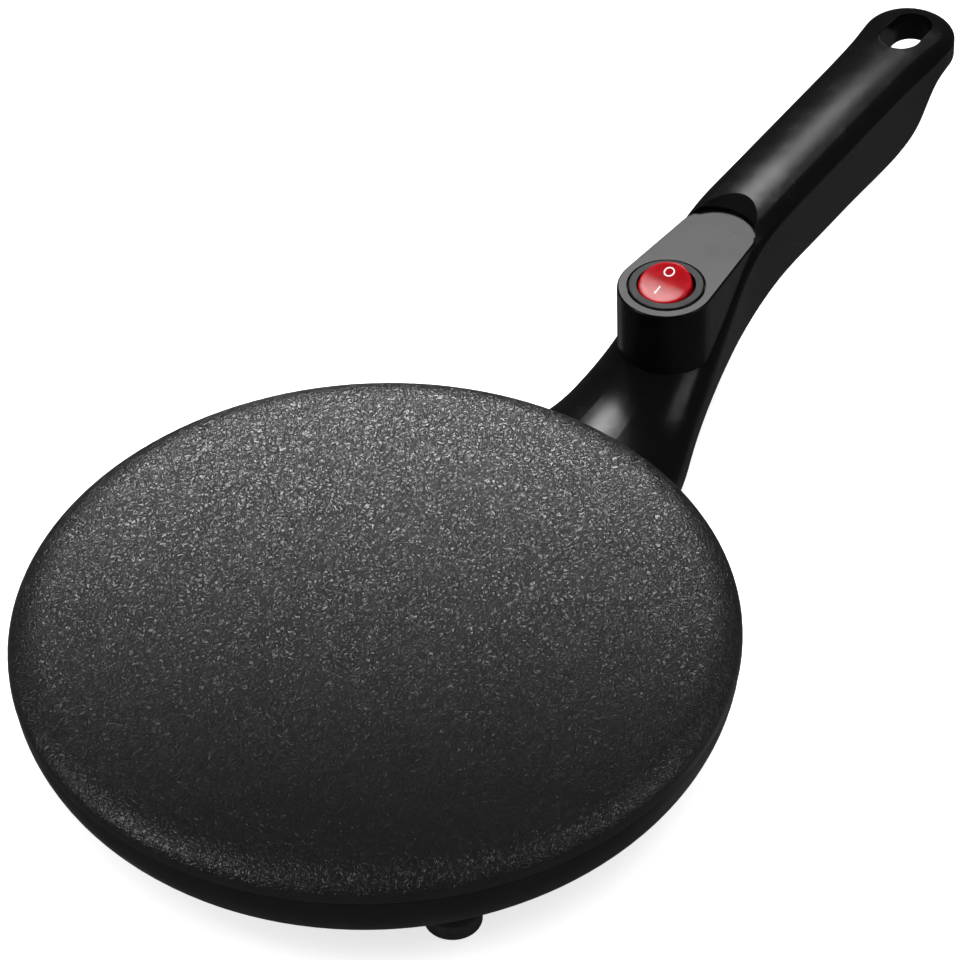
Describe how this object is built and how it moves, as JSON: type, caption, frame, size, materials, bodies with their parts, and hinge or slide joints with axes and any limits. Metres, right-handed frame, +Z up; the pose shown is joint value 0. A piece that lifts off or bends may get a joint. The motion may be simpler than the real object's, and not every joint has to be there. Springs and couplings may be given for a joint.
{
  "type": "electric crepe maker",
  "caption": "Electric crepe maker for dipping: round textured hot plate on a shallow pan, with a raised hollow handle, round rocker switch and hanging slot.",
  "frame": {"origin": "centre of the cooking surface, on its top face", "axes": "+Z up, square to the cooking surface; +X from the plate's centre along the handle; the handle's mid plane is Y = 0"},
  "size_m": [0.4145, 0.206, 0.0564],
  "materials": {
    "nonstick_plate": "textured non-stick coating",
    "pan_plastic": "satin heat-resistant moulding",
    "handle_plastic": "polished moulding",
    "switch_plastic": "satin moulding",
    "rocker_red": "translucent gloss",
    "foot_rubber": "matt rubber",
    "element_steel": "heat-tinted steel",
    "sheet_steel": "pressed sheet",
    "screw_steel": "zinc-plated steel",
    "ceramic": "matt ceramic",
    "brass": "plain brass",
    "sleeve": "glass-fibre sleeving",
    "lamp_glass": "clear glass"
  },
  "bodies": {
    "body": {"cooking_plate": "nonstick_plate", "heating_element": "element_steel", "element_terminals": "ceramic", "element_clips": "sheet_steel", "clip_screws": "screw_steel", "thermostat": "ceramic", "thermostat_bracket": "sheet_steel", "bracket_screws": "screw_steel", "thermal_fuse": "sleeve", "fuse_clamp": "sheet_steel", "fuse_screw": "screw_steel", "heat_shield": "sheet_steel", "shield_screws": "screw_steel", "base_pan": "pan_plastic", "body_screws": "screw_steel", "rubber_feet": "foot_rubber", "handle_top_shell": "handle_plastic", "handle_bottom_shell": "handle_plastic", "handle_screws": "screw_steel", "neck_screws": "screw_steel", "cord_gland": "foot_rubber", "cord_clamp": "switch_plastic", "clamp_screws": "screw_steel", "switch_housing": "switch_plastic", "switch_terminals": "brass"},
    "rocker": {"switch_rocker": "rocker_red", "indicator_lamp": "lamp_glass", "switch_plunger": "brass", "plunger_spring": "sheet_steel"},
    "blade": {"contact_blade": "brass"}
  },
  "joints": [
    {"name": "rocker_pivot", "type": "hinge", "parent": "body", "child": "rocker", "pos_m": [0.1537, 0, 0.00795], "axis": [0, 1, 0], "range_deg": [0, 26]},
    {"name": "blade_pivot", "type": "hinge", "parent": "body", "child": "blade", "pos_m": [0.1537, 0, -0.00145], "axis": [0, 1, 0], "range_deg": [-12.1, 0.1]}
  ],
  "couplings": [
    {"joint": "blade_pivot", "follows": "rocker_pivot", "ratio": -0.46154}
  ]
}
